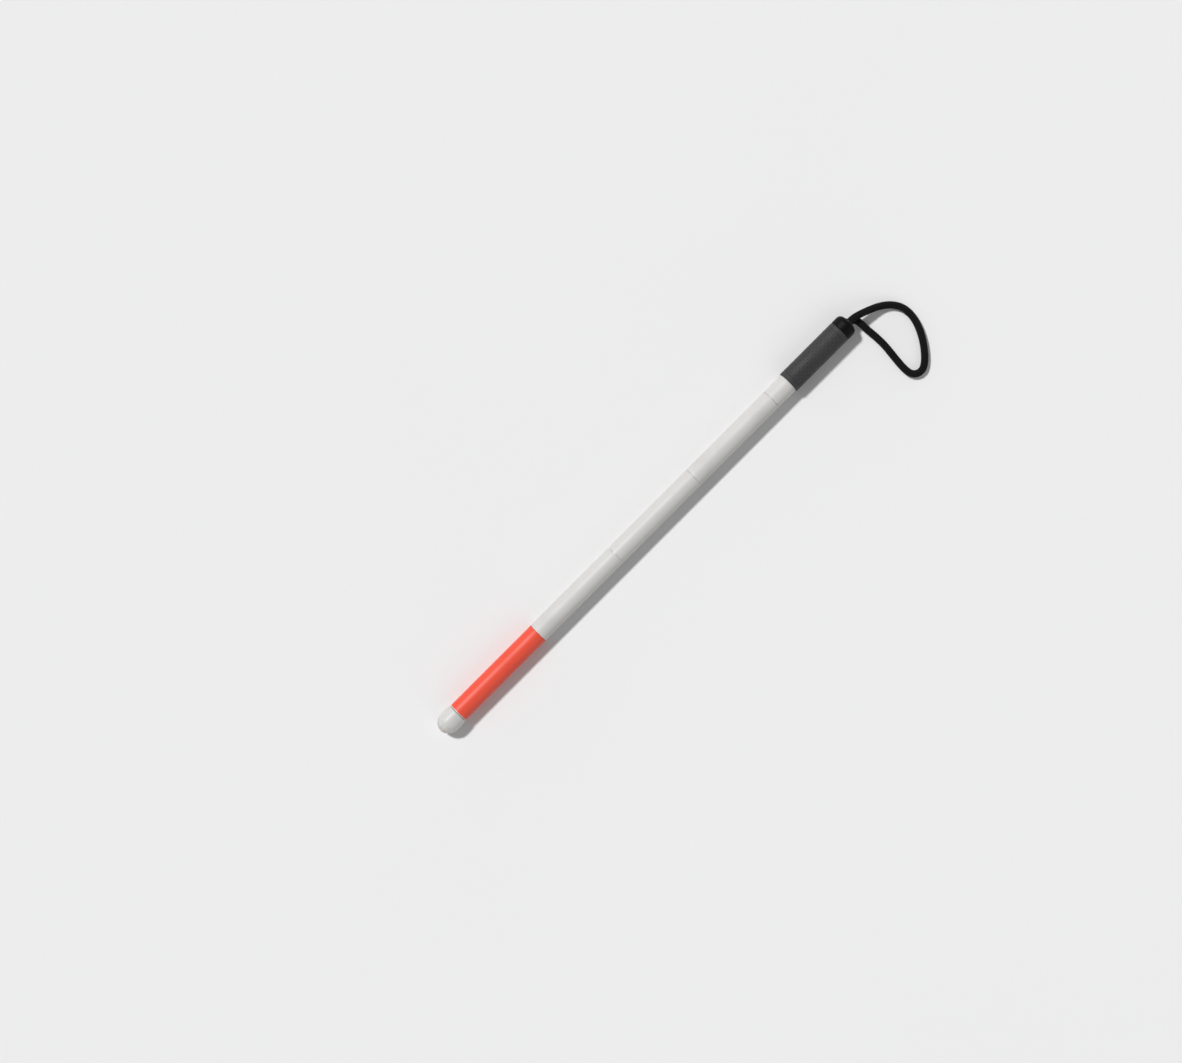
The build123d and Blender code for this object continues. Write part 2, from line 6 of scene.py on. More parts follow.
import bmesh
import bpy
import numpy as np
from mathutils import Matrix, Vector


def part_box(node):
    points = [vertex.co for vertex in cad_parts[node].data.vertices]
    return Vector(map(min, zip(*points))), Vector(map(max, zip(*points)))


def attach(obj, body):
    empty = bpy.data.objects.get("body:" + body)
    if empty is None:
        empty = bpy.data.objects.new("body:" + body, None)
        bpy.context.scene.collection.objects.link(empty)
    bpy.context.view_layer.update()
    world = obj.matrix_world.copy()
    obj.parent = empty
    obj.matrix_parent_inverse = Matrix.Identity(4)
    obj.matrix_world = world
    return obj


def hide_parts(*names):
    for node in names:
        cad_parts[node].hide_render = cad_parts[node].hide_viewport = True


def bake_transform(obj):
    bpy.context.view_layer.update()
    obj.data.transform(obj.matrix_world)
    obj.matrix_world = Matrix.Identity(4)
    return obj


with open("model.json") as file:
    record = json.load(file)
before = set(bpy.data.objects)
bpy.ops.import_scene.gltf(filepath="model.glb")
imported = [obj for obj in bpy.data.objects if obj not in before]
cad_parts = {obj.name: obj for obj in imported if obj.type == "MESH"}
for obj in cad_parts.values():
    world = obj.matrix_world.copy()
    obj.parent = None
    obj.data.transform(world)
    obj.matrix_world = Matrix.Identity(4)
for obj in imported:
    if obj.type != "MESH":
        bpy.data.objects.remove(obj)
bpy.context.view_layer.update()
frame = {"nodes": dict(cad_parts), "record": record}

MM = 0.001
TAU = 2 * math.pi

# ---- places read from the frame ------------------------------------------------------------------
tip_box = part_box("roller_tip")
AXIS_Z = (tip_box[0].z + tip_box[1].z) / 2
TIP_RADIUS = (tip_box[1].z - tip_box[0].z) / 2
GRIP_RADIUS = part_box("grip_sleeve")[1].y
TAPE_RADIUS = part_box("white_tape_2")[1].y
TUBE_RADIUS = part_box("section_tube_2")[1].y
ELASTIC_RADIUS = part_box("shock_cord_2")[1].y


# ---- camera and light ----------------------------------------------------------------------------
CAMERA_HEIGHT = 3.0
SENSOR_WIDTH = 36.0
VIEW_WIDTH = 1.4547
VIEW_CENTRE = (-0.0514, 0.0422)
VIEW_ROLL = math.radians(-45)

KEY_TURN = math.radians(8)
KEY_ELEVATION = math.radians(54)
KEY_STRENGTH = 2.79
KEY_SPREAD = math.radians(7)
FILL_TURN = KEY_TURN + math.pi * 0.9
FILL_ELEVATION = math.radians(40)
FILL_STRENGTH = 0.38
FILL_SPREAD = math.radians(40)

# the surround's strength at the horizon and overhead, and the heights of a direction between which it dims
HORIZON_LIGHT = 0.87
OVERHEAD_LIGHT = 0.22
DIM_FROM = 0.02
DIM_TO = 0.45
SURROUND_COLOUR = (0.985, 0.99, 1.0, 1)


def make_camera():
    """Looks straight down, rolled so that the grip points to the picture's upper right."""
    data = bpy.data.cameras.new("camera")
    data.sensor_width = SENSOR_WIDTH
    data.lens = SENSOR_WIDTH * CAMERA_HEIGHT / VIEW_WIDTH
    camera = bpy.data.objects.new("camera", data)
    camera.location = (*VIEW_CENTRE, AXIS_Z + CAMERA_HEIGHT)
    camera.rotation_euler = (0, 0, VIEW_ROLL)
    bpy.context.collection.objects.link(camera)
    bpy.context.scene.camera = camera


def sun(name, azimuth, elevation, strength, spread):
    """A soft far light. Azimuth 0 comes from +Y and turns towards -X; angles are in radians."""
    data = bpy.data.lights.new(name, "SUN")
    data.energy = strength
    data.angle = spread
    light = bpy.data.objects.new(name, data)
    light.rotation_euler = (elevation - math.pi / 2, 0, azimuth)
    bpy.context.collection.objects.link(light)


def make_surround():
    """A pale studio round the scene: bright at the level of the floor, dimmer overhead."""
    world = bpy.data.worlds.new("surround")
    world.use_nodes = True
    tree = world.node_tree
    background = tree.nodes["Background"]
    direction = tree.nodes.new("ShaderNodeTexCoord")
    split = tree.nodes.new("ShaderNodeSeparateXYZ")
    level = tree.nodes.new("ShaderNodeMapRange")
    level.interpolation_type = "SMOOTHSTEP"
    limits = {
        "From Min": DIM_FROM,
        "From Max": DIM_TO,
        "To Min": HORIZON_LIGHT,
        "To Max": OVERHEAD_LIGHT,
    }
    for key, number in limits.items():
        level.inputs[key].default_value = number
    tree.links.new(direction.outputs["Generated"], split.inputs["Vector"])
    tree.links.new(split.outputs["Z"], level.inputs["Value"])
    tree.links.new(level.outputs["Result"], background.inputs["Strength"])
    background.inputs["Color"].default_value = SURROUND_COLOUR
    bpy.context.scene.world = world


def make_lights():
    """A key light over the +Y side, a weak fill from the other side, and the surround."""
    sun("key", KEY_TURN, KEY_ELEVATION, KEY_STRENGTH, KEY_SPREAD)
    sun("fill", FILL_TURN, FILL_ELEVATION, FILL_STRENGTH, FILL_SPREAD)
    make_surround()
    bpy.context.scene.view_settings.view_transform = "Standard"


# ---- mesh helpers --------------------------------------------------------------------------------
SAME_PLACE = 1e-7
ROUND_STEPS = 6


def add_mesh(name, points, faces, material, body, node):
    """A smooth piece, in metres, that stands for a CAD node. Without a body it is left to be blended."""
    mesh = bpy.data.meshes.new(name)
    mesh.from_pydata([tuple(p) for p in points], [], [tuple(f) for f in faces])
    mesh.update()
    mesh.polygons.foreach_set("use_smooth", [True] * len(mesh.polygons))
    mesh.materials.append(material)
    piece = bpy.data.objects.new(name, mesh)
    bpy.context.collection.objects.link(piece)
    if body:
        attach(piece, body)
    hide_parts(node)
    return piece


def tag_points(piece, name, numbers):
    """Gives each point of a piece its own number, which a material reads by name."""
    tag = piece.data.attributes.new(name, "FLOAT", "POINT")
    tag.data.foreach_set("value", np.asarray(numbers, np.float32))


def weld(piece):
    """Joins the points that share a place, as at the poles of a turned piece."""
    shape = bmesh.new()
    shape.from_mesh(piece.data)
    bmesh.ops.remove_doubles(shape, verts=shape.verts, dist=SAME_PLACE)
    bmesh.ops.recalc_face_normals(shape, faces=shape.faces)
    shape.to_mesh(piece.data)
    shape.free()


def mark_sharp(piece, limit):
    """Keeps the shading sharp at edges that turn by more than the limit."""
    shape = bmesh.new()
    shape.from_mesh(piece.data)
    for edge in shape.edges:
        edge.smooth = not edge.is_manifold or edge.calc_face_angle() < limit
    shape.to_mesh(piece.data)
    shape.free()


def ring_faces(rows, columns, closed_rows):
    """Quads of a grid that is closed round its columns, and round its rows too if asked."""
    faces = []
    for i in range(rows if closed_rows else rows - 1):
        low, high = i * columns, ((i + 1) % rows) * columns
        for j in range(columns):
            k = (j + 1) % columns
            faces.append((low + j, low + k, high + k, high + j))
    return faces


def smoothstep(low, high, value):
    """0 below low, 1 above high, and a soft S between them."""
    t = np.clip((value - low) / (high - low), 0, 1)
    return t * t * (3 - 2 * t)


def turned_points(profile, columns, relief, floor=None):
    """Points of a profile turned round the cane's axis. Each point of the profile is (x, radius, share), and
    that share of relief(x, angle) comes off its radius. No point lies below the floor, if there is one."""
    profile = np.array(profile, float)
    angle = np.arange(columns) / columns * TAU
    x = np.repeat(profile[:, 0], columns)
    around = np.tile(angle, len(profile))
    radius = np.repeat(profile[:, 1], columns) - np.repeat(profile[:, 2], columns) * relief(x, around)
    y = radius * np.cos(around)
    z = AXIS_Z + radius * np.sin(around)
    if floor is not None:
        z = np.maximum(z, floor)
    return np.stack([x, y, z], axis=1)


def rounded_sleeve(low, high, outer, inner, step, low_round, high_round):
    """A closed profile of a sleeve: bore, rounded ends, and an outside in even steps that takes relief."""
    start, end = low + low_round, high - high_round
    quarter = np.linspace(0, math.pi / 2, ROUND_STEPS)
    profile = [(low, inner, 0)]
    for a in reversed(quarter):
        profile.append((start - low_round * math.sin(a), outer - low_round * (1 - math.cos(a)), 0))
    for x in np.arange(start + step, end - step / 2, step):
        profile.append((x, outer, 1))
    for a in quarter:
        profile.append((end + high_round * math.sin(a), outer - high_round * (1 - math.cos(a)), 0))
    profile.append((high, inner, 0))
    return profile


# ---- material helpers ----------------------------------------------------------------------------
class Nodes:
    """Short names for making and joining shader nodes."""

    def __init__(self, name, colour, roughness, **settings):
        self.material = bpy.data.materials.new(name)
        self.material.use_nodes = True
        self.tree = self.material.node_tree
        self.shader = self.tree.nodes["Principled BSDF"]
        self.shader.inputs["Base Color"].default_value = (*colour, 1)
        self.shader.inputs["Roughness"].default_value = roughness
        for key, value in settings.items():
            self.shader.inputs[key.replace("_", " ")].default_value = value

    def add(self, kind, **settings):
        node = self.tree.nodes.new(kind)
        for key, value in settings.items():
            setattr(node, key, value)
        return node

    def link(self, output, target):
        self.tree.links.new(output, target)

    def value(self, target, source):
        """Joins a socket to a socket, or sets its number or colour."""
        if isinstance(source, bpy.types.NodeSocket):
            self.link(source, target)
        else:
            target.default_value = source

    def math(self, operation, first, second=0.0, third=0.0):
        node = self.add("ShaderNodeMath", operation=operation)
        for target, source in zip(node.inputs, (first, second, third)):
            self.value(target, source)
        return node.outputs[0]

    def ramp(self, value, low, high, to_low=0.0, to_high=1.0):
        """A soft step from to_low, where the value is low, to to_high, where it is high."""
        node = self.add("ShaderNodeMapRange", interpolation_type="SMOOTHSTEP")
        for target, source in zip(node.inputs, (value, low, high, to_low, to_high)):
            self.value(target, source)
        return node.outputs[0]

    def mix(self, factor, first, second):
        node = self.add("ShaderNodeMix", data_type="RGBA")
        self.value(node.inputs["Factor"], factor)
        for target, source in ((node.inputs[6], first), (node.inputs[7], second)):
            self.value(target, (*source, 1) if isinstance(source, tuple) else source)
        return node.outputs[2]

    def noise(self, vector, scale, detail=3.0, roughness=0.5):
        node = self.add("ShaderNodeTexNoise")
        self.link(vector, node.inputs["Vector"])
        node.inputs["Scale"].default_value = scale
        node.inputs["Detail"].default_value = detail
        node.inputs["Roughness"].default_value = roughness
        return node.outputs["Fac"]

    def place(self):
        """The point itself, in metres."""
        return self.add("ShaderNodeTexCoord").outputs["Object"]

    def round_place(self):
        """(x, angle as a share of a turn, distance from the axis) of a point of the cane."""
        split = self.add("ShaderNodeSeparateXYZ")
        self.link(self.place(), split.inputs[0])
        up = self.math("SUBTRACT", split.outputs[2], AXIS_Z)
        angle = self.math("ARCTAN2", up, split.outputs[1])
        share = self.math("DIVIDE", angle, TAU)
        square = self.math("ADD", self.math("POWER", split.outputs[1], 2.0), self.math("POWER", up, 2.0))
        return split.outputs[0], share, self.math("SQRT", square)

    def vector(self, x, y, z):
        node = self.add("ShaderNodeCombineXYZ")
        for target, source in zip(node.inputs, (x, y, z)):
            self.value(target, source)
        return node.outputs[0]

    def diamonds(self, around, along):
        """How near a point is to lines that cross as diamonds: 0 in a diamond's middle, 1 on a line."""
        sides = []
        for operation in ("ADD", "SUBTRACT"):
            part = self.math("FRACT", self.math(operation, around, along))
            sides.append(self.math("MULTIPLY", self.math("ABSOLUTE", self.math("SUBTRACT", part, 0.5)), 2.0))
        return self.math("MAXIMUM", *sides)

    def attribute(self, name):
        """The number that tag_points gave the point."""
        return self.add("ShaderNodeAttribute", attribute_name=name).outputs["Fac"]

    def bump(self, height, distance, strength):
        node = self.add("ShaderNodeBump")
        node.inputs["Distance"].default_value = distance
        node.inputs["Strength"].default_value = strength
        self.link(height, node.inputs["Height"])
        self.link(node.outputs[0], self.shader.inputs["Normal"])

    def base(self, output):
        self.link(output, self.shader.inputs["Base Color"])

    def rough(self, output):
        self.link(output, self.shader.inputs["Roughness"])


CELLS_AROUND = 24
CELL_PITCH = 3.4 * MM


def sheeting(name, colour, line_colour, stain_colour):
    """Reflective sheeting: sealed diamond cells under a clear glossy top, with faint grime and scratches."""
    n = Nodes(name, colour, 0.5, Coat_Weight=0.08, Coat_Roughness=0.36, Specular_IOR_Level=0.32)
    x, share, _ = n.round_place()
    cells = n.diamonds(n.math("MULTIPLY", share, CELLS_AROUND), n.math("DIVIDE", x, CELL_PITCH))
    wall = n.ramp(cells, 0.86, 0.97)
    place = n.place()
    grain = n.noise(place, 2600, 2)
    cloud = n.noise(place, 16, 4, 0.6)
    streaks = n.vector(n.math("MULTIPLY", x, 30.0), n.math("MULTIPLY", share, 260.0), 0.0)
    scratched = n.ramp(n.noise(streaks, 3.0, 5, 0.7), 0.66, 0.72, 0.0, 0.35)
    lined = n.mix(n.math("MULTIPLY", wall, 0.55), colour, line_colour)
    stained = n.mix(n.ramp(cloud, 0.52, 0.80, 0.0, 0.30), lined, stain_colour)
    n.base(n.mix(scratched, stained, stain_colour))
    n.rough(n.math("ADD", n.ramp(cloud, 0.4, 0.75, 0.46, 0.60), n.math("MULTIPLY", scratched, 0.5)))
    height = n.math("ADD", n.math("MULTIPLY", wall, 0.7), n.math("MULTIPLY", grain, 0.12))
    n.bump(height, 0.05 * MM, 0.6)
    return n.material


def grip_rubber():
    """Dark grey moulded rubber, paler where hands have worn the raised parts."""
    n = Nodes("grip_rubber", (0.034, 0.034, 0.035), 0.62, Specular_IOR_Level=0.3, Sheen_Weight=0.05)
    place = n.place()
    fine = n.noise(place, 3200, 3, 0.6)
    cloud = n.noise(place, 45, 4, 0.6)
    worn = n.math("MULTIPLY", n.ramp(n.attribute("raised"), 0.2, 1.0), n.ramp(cloud, 0.35, 0.7, 0.25, 0.85))
    n.base(n.mix(worn, (0.028, 0.028, 0.029), (0.041, 0.041, 0.042)))
    n.rough(n.ramp(cloud, 0.3, 0.7, 0.52, 0.70))
    n.bump(fine, 0.05 * MM, 0.7)
    return n.material


def cap_rubber():
    """Black moulded rubber with a satin skin and a few grey scuffs."""
    n = Nodes("cap_rubber", (0.002, 0.002, 0.002), 0.5, Specular_IOR_Level=0.12)
    place = n.place()
    fine = n.noise(place, 2400, 3, 0.6)
    cloud = n.noise(place, 90, 5, 0.65)
    n.base(n.mix(n.ramp(cloud, 0.60, 0.78, 0.0, 0.5), (0.002, 0.002, 0.002), (0.009, 0.009, 0.009)))
    n.rough(n.ramp(cloud, 0.3, 0.7, 0.40, 0.58))
    n.bump(fine, 0.04 * MM, 0.6)
    return n.material


def black_nylon():
    """Moulded black nylon: satin, with the fine pitting of the mould."""
    n = Nodes("black_nylon", (0.006, 0.006, 0.007), 0.42, Specular_IOR_Level=0.35)
    place = n.place()
    cloud = n.noise(place, 140, 4, 0.6)
    n.base(n.mix(n.ramp(cloud, 0.35, 0.75), (0.005, 0.005, 0.005), (0.010, 0.010, 0.011)))
    n.rough(n.ramp(cloud, 0.3, 0.7, 0.34, 0.5))
    n.bump(n.noise(place, 2200, 2), 0.03 * MM, 0.5)
    return n.material


SCUFF_START = 2 * MM
SCUFF_END = 14 * MM


def tip_nylon():
    """Off-white nylon, scuffed grey round the nose where it rolls on the ground."""
    n = Nodes("tip_nylon", (0.56, 0.555, 0.54), 0.45, Specular_IOR_Level=0.4,
              Subsurface_Weight=0.12, Subsurface_Scale=2 * MM)
    x, share, reach = n.round_place()
    place = n.place()
    nose = n.ramp(x, tip_box[0].x + SCUFF_END, tip_box[0].x + SCUFF_START)
    cloud = n.noise(place, 120, 5, 0.65)
    streaks = n.vector(n.math("MULTIPLY", x, 900.0), n.math("MULTIPLY", share, 9.0), reach)
    streak = n.noise(streaks, 1.6, 5, 0.7)
    marks = n.ramp(n.math("ADD", cloud, n.math("MULTIPLY", streak, 0.6)), 0.72, 1.0)
    scuff = n.math("MULTIPLY", nose, marks)
    clean = n.mix(n.ramp(cloud, 0.4, 0.75, 0.0, 0.5), (0.575, 0.566, 0.548), (0.525, 0.512, 0.488))
    n.base(n.mix(n.math("MULTIPLY", scuff, 0.55), clean, (0.28, 0.27, 0.255)))
    n.rough(n.math("ADD", n.ramp(cloud, 0.3, 0.7, 0.36, 0.5), n.math("MULTIPLY", scuff, 0.2)))
    grain = n.noise(place, 1800, 3)
    height = n.math("SUBTRACT", n.math("MULTIPLY", grain, 0.3), n.math("MULTIPLY", scuff, 0.7))
    n.bump(height, 0.08 * MM, 0.6)
    return n.material


LATHE_LINES = 9000.0


def turned_metal(name, colour, roughness, line_depth):
    """Metal with fine lathe lines round the axis and a little tarnish."""
    n = Nodes(name, colour, roughness, Metallic=1.0)
    x, share, reach = n.round_place()
    rings = n.vector(n.math("MULTIPLY", x, LATHE_LINES), n.math("MULTIPLY", share, 6.0),
                     n.math("MULTIPLY", reach, LATHE_LINES))
    lines = n.noise(rings, 1.0, 3, 0.6)
    cloud = n.noise(n.place(), 70, 4, 0.6)
    dull = tuple(channel * 0.72 for channel in colour)
    n.base(n.mix(n.ramp(cloud, 0.45, 0.8, 0.0, 0.6), colour, dull))
    n.rough(n.math("ADD", n.ramp(cloud, 0.3, 0.75, roughness - 0.06, roughness + 0.10),
                   n.math("MULTIPLY", lines, 0.08)))
    n.bump(lines, line_depth, 0.5)
    return n.material


def braid_cloth(name, colour, worn_colour, filaments):
    """Braided yarn: filaments along each yarn, a soft sheen, and paler fuzz on the crowns."""
    n = Nodes(name, colour, 0.7, Sheen_Weight=0.045, Sheen_Roughness=0.4, Specular_IOR_Level=0.15)
    wave = n.math("SINE", n.math("MULTIPLY", n.attribute("yarn"), TAU * filaments))
    thread = n.ramp(wave, -1.0, 1.0)
    fuzz = n.noise(n.place(), 900, 4, 0.7)
    n.base(n.mix(n.math("MULTIPLY", n.ramp(fuzz, 0.4, 0.8), thread), colour, worn_colour))
    height = n.math("ADD", n.math("MULTIPLY", thread, 0.6), n.math("MULTIPLY", fuzz, 0.4))
    n.bump(height, 0.10 * MM, 0.8)
    return n.material


ELASTIC_CARRIERS = 8
ELASTIC_PITCH = 16 * MM
ELASTIC_RELIEF = 0.09 * MM


def elastic_cloth():
    """Pale braid over rubber: yarns that cross in small diamonds, with painted shade in the hollows between
    them.
    """
    n = Nodes("elastic_braid", (0.46, 0.46, 0.45), 0.75, Sheen_Weight=0.1, Sheen_Roughness=0.4)
    x, share, _ = n.round_place()
    along = n.math("MULTIPLY", x, ELASTIC_CARRIERS / ELASTIC_PITCH)
    shaded_gap = n.ramp(n.diamonds(n.math("MULTIPLY", share, ELASTIC_CARRIERS), along), 0.45, 0.95)
    fuzz = n.noise(n.place(), 1500, 4, 0.7)
    yarn = n.mix(n.ramp(fuzz, 0.35, 0.75), (0.44, 0.44, 0.43), (0.54, 0.54, 0.53))
    # painted shade: the hollows between the yarns are darkened to a dark grey in the base colour
    n.base(n.mix(shaded_gap, yarn, (0.17, 0.17, 0.165)))
    n.bump(n.math("ADD", n.math("MULTIPLY", shaded_gap, -0.8), n.math("MULTIPLY", fuzz, 0.4)), 0.08 * MM, 0.8)
    return n.material


def floor_paint():
    """The plain pale floor."""
    n = Nodes("floor_paint", (0.80, 0.80, 0.80), 0.85, Specular_IOR_Level=0.2)
    cloud = n.noise(n.place(), 1.5, 2)
    n.base(n.mix(cloud, (0.79, 0.79, 0.79), (0.81, 0.81, 0.81)))
    return n.material


# ---- wrist loop ----------------------------------------------------------------------------------
# the route of the loop, in metres: from the cap's upper hole, round on the ground, to the lower hole
LOOP_ROUTE = [
    (0.3526, 0.0000, 0.0189),
    (0.3608, 0.0000, 0.0189),
    (0.3712, -0.0026, 0.0176),
    (0.3842, -0.0072, 0.0128),
    (0.3974, -0.0130, 0.0076),
    (0.4086, -0.0214, 0.0049),
    (0.4159, -0.0324, 0.0049),
    (0.4180, -0.0455, 0.0049),
    (0.4154, -0.0593, 0.0049),
    (0.4098, -0.0728, 0.0049),
    (0.4022, -0.0852, 0.0049),
    (0.3940, -0.0952, 0.0049),
    (0.3864, -0.1024, 0.0049),
    (0.3791, -0.1062, 0.0049),
    (0.3711, -0.1051, 0.0049),
    (0.3655, -0.0994, 0.0049),
    (0.3642, -0.0900, 0.0049),
    (0.3646, -0.0784, 0.0049),
    (0.3660, -0.0658, 0.0049),
    (0.3674, -0.0530, 0.0049),
    (0.3675, -0.0416, 0.0050),
    (0.3668, -0.0310, 0.0054),
    (0.3658, -0.0228, 0.0065),
    (0.3654, -0.0162, 0.0075),
    (0.3652, -0.0111, 0.0084),
    (0.3644, -0.0062, 0.0092),
    (0.3619, -0.0022, 0.0095),
    (0.3576, 0.0000, 0.0095),
    (0.3550, 0.0000, 0.0095),
]
LOOP_DIAMETER = 0.009
LOOP_CARRIERS = 8
LOOP_PITCH = 28 * MM
LOOP_FILAMENTS = 5

# the braid's crowns stand a little outside the cord's nominal radius, as its hollows lie inside it
BRAID_FULLNESS = 1.055
# a yarn's half thickness and its swing in and out, as shares of the cord's radius
YARN_HALF_THICK = 0.115
YARN_SWING = 0.085
YARN_OVERLAP = 1.02
YARN_CORNERS = 8
YARN_STEPS = 8
CORE_CORNERS = 16
ROUTE_STEPS = 40


def smooth_line(route):
    """Points along the smooth spline that has the route as its control points."""
    data = bpy.data.curves.new("route", "CURVE")
    data.dimensions = "3D"
    data.resolution_u = ROUTE_STEPS
    spline = data.splines.new("NURBS")
    spline.points.add(len(route) - 1)
    for point, place in zip(spline.points, route):
        point.co = (*place, 1)
    spline.order_u = 3
    spline.use_endpoint_u = True
    holder = bpy.data.objects.new("route", data)
    bpy.context.collection.objects.link(holder)
    bpy.context.view_layer.update()
    mesh = bpy.data.meshes.new_from_object(holder)
    points = np.array([tuple(v.co) for v in mesh.vertices])
    bpy.data.objects.remove(holder)
    bpy.data.curves.remove(data)
    bpy.data.meshes.remove(mesh)
    return points


def even_points(points, step):
    """The same line in even steps, with the distance along it of each point."""
    lengths = np.concatenate([[0], np.cumsum(np.linalg.norm(np.diff(points, axis=0), axis=1))])
    count = max(2, round(lengths[-1] / step) + 1)
    along = np.linspace(0, lengths[-1], count)
    return np.stack([np.interp(along, lengths, points[:, k]) for k in range(3)], axis=1), along


def unit(vectors):
    """The same directions, each with a length of one."""
    return vectors / np.linalg.norm(vectors, axis=1)[:, None]


def normals_along(points):
    """Two directions across the line at each point, which turn as little as the line allows."""
    tangents = unit(np.gradient(points, axis=0))
    normal = np.cross(tangents[0], (0, 1, 0))
    normals = []
    for tangent in tangents:
        normal = normal - tangent * (normal @ tangent)
        normal /= np.linalg.norm(normal)
        normals.append(normal)
    normals = np.array(normals)
    return normals, np.cross(tangents, normals)


def round_points(points, first, second, corners):
    """A ring of points about each point of a line, from its two half widths there as vectors."""
    angles = np.arange(corners) / corners * TAU
    rings = [points + first * math.cos(a) + second * math.sin(a) for a in angles]
    return np.stack(rings, axis=1).reshape(-1, 3)


def tube_faces(rows, columns, offset):
    """Quads of a tube and its two end faces, for points that start at offset."""
    faces = [tuple(offset + k for k in face) for face in ring_faces(rows, columns, False)]
    faces.append(tuple(offset + k for k in reversed(range(columns))))
    faces.append(tuple(offset + (rows - 1) * columns + k for k in range(columns)))
    return faces


def make_wrist_cord(material):
    """A real braid: yarns that wind both ways round a core and pass over and under each other."""
    radius = LOOP_DIAMETER / 2 * BRAID_FULLNESS
    half_thick = YARN_HALF_THICK * radius
    swing = YARN_SWING * radius
    middle = radius - half_thick - swing
    lay_angle = math.atan(TAU * middle / LOOP_PITCH)
    half_wide = 0.5 * TAU * middle / LOOP_CARRIERS * math.cos(lay_angle) * YARN_OVERLAP
    line, along = even_points(smooth_line(LOOP_ROUTE), LOOP_PITCH / LOOP_CARRIERS / YARN_STEPS)
    normals, sides = normals_along(line)
    across_yarn = 0.5 + 0.5 * np.cos(np.arange(YARN_CORNERS) / YARN_CORNERS * TAU)
    points, faces, tags = [], [], []
    for way in (1, -1):
        for k in range(LOOP_CARRIERS):
            turn = TAU * (k / LOOP_CARRIERS + way * along / LOOP_PITCH)
            reach = middle + way * swing * np.cos(TAU * LOOP_CARRIERS * along / LOOP_PITCH)
            out = normals * np.cos(turn)[:, None] + sides * np.sin(turn)[:, None]
            centre = line + out * reach[:, None]
            run = unit(np.gradient(centre, axis=0))
            across = unit(np.cross(run, out))
            raised = np.cross(run, across)
            faces += tube_faces(len(line), YARN_CORNERS, len(line) * YARN_CORNERS * len(points))
            points.append(round_points(centre, across * half_wide, raised * half_thick, YARN_CORNERS))
            tags.append(np.tile(across_yarn, len(line)))
    core = middle - swing
    faces += tube_faces(len(line), CORE_CORNERS, len(line) * YARN_CORNERS * len(points))
    points.append(round_points(line, normals * core, sides * core, CORE_CORNERS))
    tags.append(np.zeros(len(line) * CORE_CORNERS))
    piece = add_mesh("wrist_cord", np.concatenate(points), faces, material,
                     "handle_section", "wrist_loop")
    tag_points(piece, "yarn", np.concatenate(tags))
    return piece, line


# ---- pieces round the axis -----------------------------------------------------------------------
SHEET_COLUMNS = 256
SHEET_STEP = 6 * MM
SHEET_ROUND = 0.12 * MM
END_GAP = 1 * MM
# one edge of the sheeting laps over the other; angles are in radians round the axis
LAP_STEP = 0.12 * MM
LAP_ANGLE = 5.15
LAP_EDGE = 0.02
LAP_WIDE = 0.42
LAP_FADE = 0.25


def lap_relief(x, around):
    """The sheeting's lap: an edge that stands proud at once and sinks away slowly beyond the overlap."""
    past = (around - LAP_ANGLE) % TAU
    proud = smoothstep(0.0, LAP_EDGE, past) * (1 - smoothstep(LAP_WIDE, LAP_WIDE + LAP_FADE, past))
    return LAP_STEP * (0.5 - proud)


def make_sheeting(name, node, tube, body, material):
    """One section's sheeting, taken up to the ends of its tube that the CAD sleeve stops just short of."""
    low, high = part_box(node)[0].x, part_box(node)[1].x
    tube_low, tube_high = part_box(tube)[0].x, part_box(tube)[1].x
    if low - tube_low < END_GAP:
        low = tube_low
    if tube_high - high < END_GAP:
        high = tube_high
    profile = rounded_sleeve(low, high, TAPE_RADIUS, TUBE_RADIUS, SHEET_STEP, SHEET_ROUND, SHEET_ROUND)
    points = turned_points(profile, SHEET_COLUMNS, lap_relief)
    add_mesh(name, points, ring_faces(len(profile), SHEET_COLUMNS, True), material, body, node)


GRIP_COLUMNS = 288
GRIP_STEP = 0.3 * MM
GRIP_LOW_ROUND = 0.8 * MM
GRIP_HIGH_ROUND = 1.5 * MM
SLOT_ROWS_PITCH = 3.6 * MM
SLOTS_AROUND = 14
SLOT_HALF_ALONG = 0.62 * MM
SLOT_HALF_AROUND = 2.1 * MM
SLOT_DEPTH = 0.3 * MM
COLLAR = 8.6 * MM
RING_FROM_COLLAR = 2 * MM
RING_WIDE = 0.7 * MM
RING_DEPTH = 0.4 * MM


def grip_relief(x, around):
    """Staggered rows of short slots, and a ring groove at each collar, as depths."""
    low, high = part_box("grip_sleeve")
    row = np.round((x - low.x) / SLOT_ROWS_PITCH)
    off_row = (x - low.x) - row * SLOT_ROWS_PITCH
    turns = around / TAU * SLOTS_AROUND + 0.5 * (row % 2)
    off_slot = (turns - np.round(turns)) / SLOTS_AROUND * TAU * GRIP_RADIUS
    reach = ((off_row / SLOT_HALF_ALONG) ** 4 + (off_slot / SLOT_HALF_AROUND) ** 4) ** 0.25
    inside = (x > low.x + COLLAR) & (x < high.x - COLLAR)
    slots = SLOT_DEPTH * (1 - smoothstep(0.72, 1.12, reach)) * inside
    ring_in = COLLAR - RING_FROM_COLLAR
    off_ring = np.minimum(np.abs(x - low.x - ring_in), np.abs(x - high.x + ring_in))
    ring = RING_DEPTH * (1 - smoothstep(0.5 * RING_WIDE, 1.1 * RING_WIDE, off_ring))
    return np.maximum(slots, ring)


